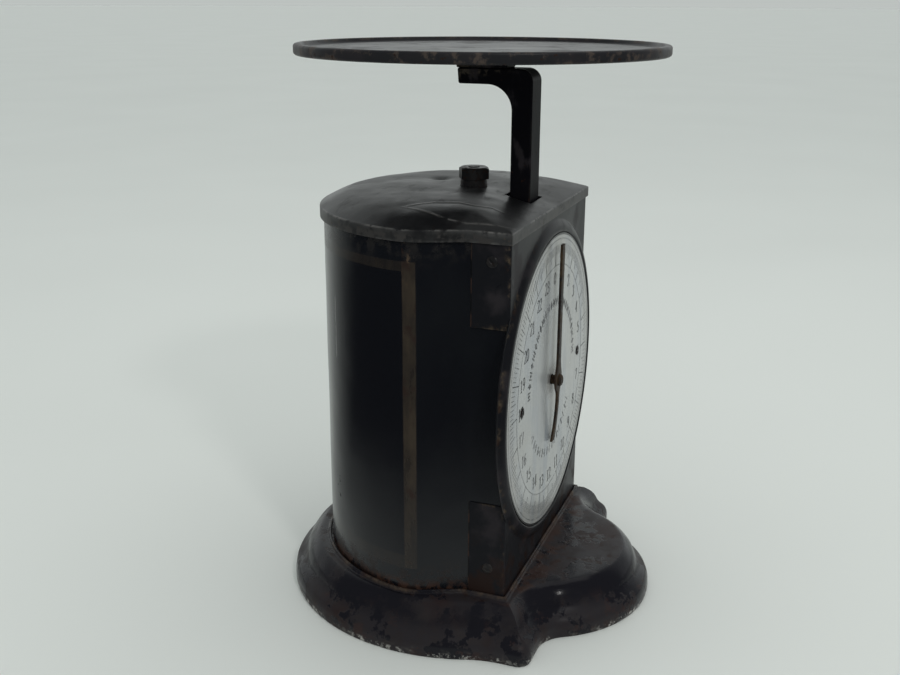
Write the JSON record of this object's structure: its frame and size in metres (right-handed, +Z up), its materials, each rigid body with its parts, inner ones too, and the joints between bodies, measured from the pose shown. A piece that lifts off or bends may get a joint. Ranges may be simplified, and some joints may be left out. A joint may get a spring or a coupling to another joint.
{
  "type": "mechanical dial platform scale",
  "caption": "Upright spring scale with a round tray on an L-shaped arm, a sheet-metal case, a round dial with a pointer, and a lobed foot.",
  "frame": {"origin": "middle of the foot's floor outline, on the surface it stands on", "axes": "+Z up, -Y towards the reader of the dial, +X to that reader's right"},
  "size_m": [0.2112, 0.2194, 0.3171],
  "materials": {
    "foot_paint": "worn black japanning on cast iron",
    "case_paint": "glossy black japanning on sheet iron",
    "panel_paint": "worn black japanning",
    "lid_paint": "worn black japanning",
    "tray_paint": "worn black enamel",
    "arm_paint": "black paint on cast iron",
    "dial_face": "aged off-white paint with black print",
    "pointer_steel": "dark rusted steel",
    "dark_screw": "blackened",
    "blackened_steel": "blackened",
    "steel": "plain",
    "spring_steel": "oil-darkened",
    "brass": "aged"
  },
  "bodies": {
    "root": {"base_casting": "foot_paint", "case_wrapper": "case_paint", "front_panel": "panel_paint", "lid": "lid_paint", "dial_plate": "dial_face", "dial_screws": "dark_screw", "ear_screws": "dark_screw", "case_brackets": "steel", "bracket_screws": "steel", "post_left": "steel", "post_right": "steel", "post_screws": "steel", "bridge_screws": "steel", "bridge": "steel", "upper_link_rod": "steel", "lower_link_rod": "steel", "rod_collars": "steel", "eyebolt": "blackened_steel", "nut_collar": "blackened_steel", "main_spring": "spring_steel", "arbor_yoke": "steel", "front_bush_plate": "steel", "yoke_rivets": "steel", "front_bush": "brass", "rear_bush": "brass"},
    "carriage": {"platform": "tray_paint", "platform_screw": "dark_screw", "platform_pad": "arm_paint", "arm": "arm_paint", "drop_bar": "steel", "arm_screws": "steel", "rack": "brass", "rack_screws": "steel", "upper_link_block": "brass", "lower_link_block": "brass", "upper_link_pin": "steel", "lower_link_pin": "steel", "block_screws": "steel", "spring_foot": "steel", "foot_screws": "steel"},
    "pointer_group": {"arbor": "pointer_steel", "pinion": "brass", "pointer_hub": "pointer_steel", "pointer": "pointer_steel"},
    "upper_check": {"upper_link": "steel"},
    "lower_check": {"lower_link": "steel"},
    "nut": {"zero_nut": "blackened_steel"}
  },
  "joints": [
    {"name": "platform_drop", "type": "slide", "parent": "root", "child": "carriage", "axis": [0, 0, -1], "range_m": [0, 0.0254], "stiffness_N_per_m": 4200, "springref_m": -0.00315, "deforming": ["main_spring"]},
    {"name": "pointer_turn", "type": "hinge", "parent": "root", "child": "pointer_group", "pos_m": [0, -0.03, 0.1299], "axis": [0, 1, 0], "range_deg": [-5, 365]},
    {"name": "upper_link_swing", "type": "hinge", "parent": "root", "child": "upper_check", "pos_m": [0, 0.0342, 0.1733], "axis": [1, 0, 0], "range_deg": [-1, 30]},
    {"name": "lower_link_swing", "type": "hinge", "parent": "root", "child": "lower_check", "pos_m": [0, 0.0342, 0.0793], "axis": [1, 0, 0], "range_deg": [-1, 30]},
    {"name": "zero_nut_turn", "type": "hinge", "parent": "root", "child": "nut", "pos_m": [0, 0.0012, 0.245], "axis": [0, 0, 1], "range_deg": [-360, 360]}
  ],
  "couplings": [
    {"joint": "pointer_turn", "follows": "platform_drop", "rad_per_m": 247.37},
    {"joint": "upper_link_swing", "follows": "platform_drop", "rad_per_m": 19.7},
    {"joint": "lower_link_swing", "follows": "platform_drop", "rad_per_m": 19.7}
  ]
}
